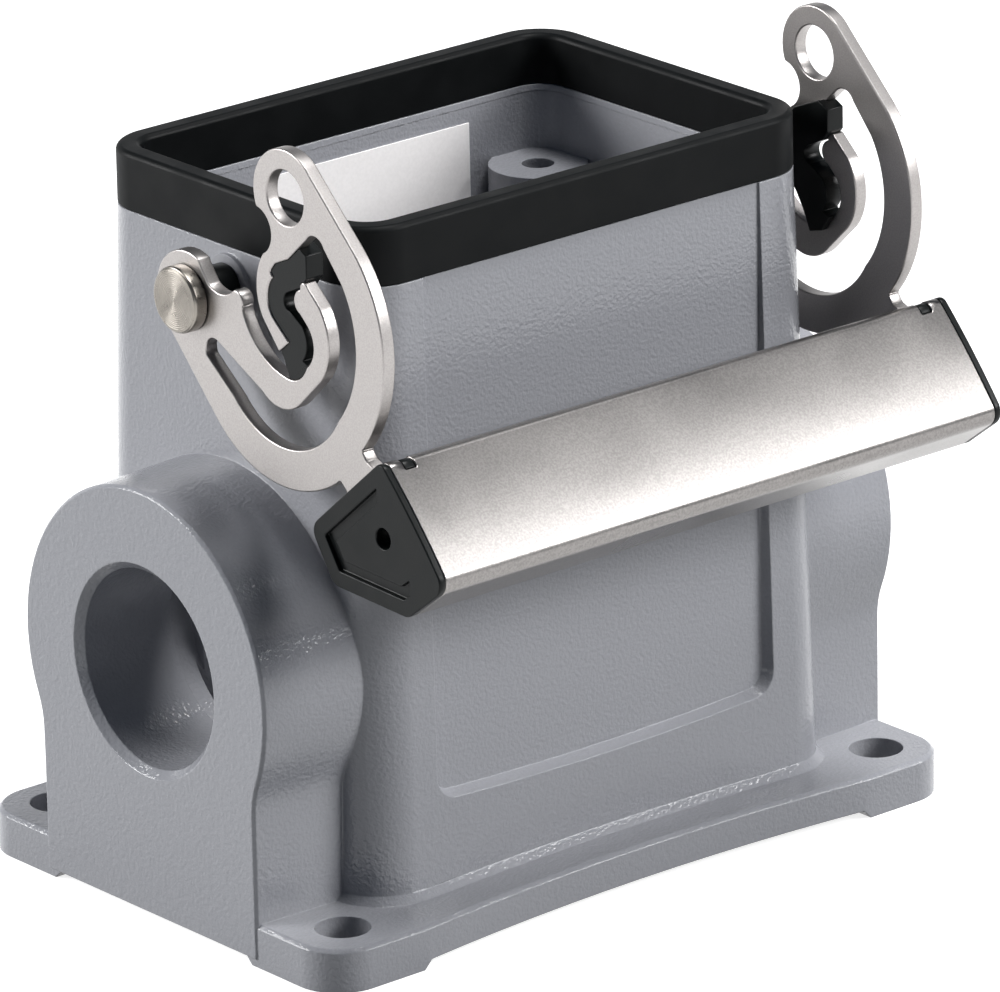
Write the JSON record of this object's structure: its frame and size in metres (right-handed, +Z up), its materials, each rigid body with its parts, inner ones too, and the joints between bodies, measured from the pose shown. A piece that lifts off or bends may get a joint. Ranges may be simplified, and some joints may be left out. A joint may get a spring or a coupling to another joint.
{
  "type": "heavy duty rectangular connector housing",
  "caption": "Surface mounting housing of a heavy duty rectangular connector, with a side cable entry, a rubber rim seal and a steel locking lever with a folded grip bar.",
  "frame": {"origin": "centre of the four mounting holes, in the plane of the feet", "axes": "-X along the cable entry's axis, -Y towards the lever's grip bar as shown, +Z up out of the mouth"},
  "size_m": [0.082, 0.0678, 0.0819],
  "materials": {
    "grey_coat": "grey powder coat on a die casting",
    "seal_rubber": "matt black rubber",
    "label_white": "bare white label",
    "stud_steel": "turned steel",
    "spring_steel": "satin stainless spring sheet",
    "bar_steel": "satin stainless folded sheet",
    "black_plastic": "moulded black plastic"
  },
  "bodies": {
    "base": {"housing": "grey_coat", "profile_seal": "seal_rubber", "label": "label_white", "pivot_stud_left": "stud_steel", "pivot_stud_right": "stud_steel", "spacer_bush_left": "black_plastic", "spacer_bush_right": "black_plastic"},
    "lever": {"lever_plate_left": "spring_steel", "lever_plate_right": "spring_steel", "slot_liner_left": "black_plastic", "slot_liner_right": "black_plastic", "grip_bar": "bar_steel", "end_cap_left": "black_plastic", "end_cap_right": "black_plastic"}
  },
  "joints": [
    {"name": "lever_hinge", "type": "hinge", "parent": "base", "child": "lever", "pos_m": [0, -0.0005, 0.0634], "axis": [-1, 0, 0], "range_deg": [-5, 95]}
  ]
}
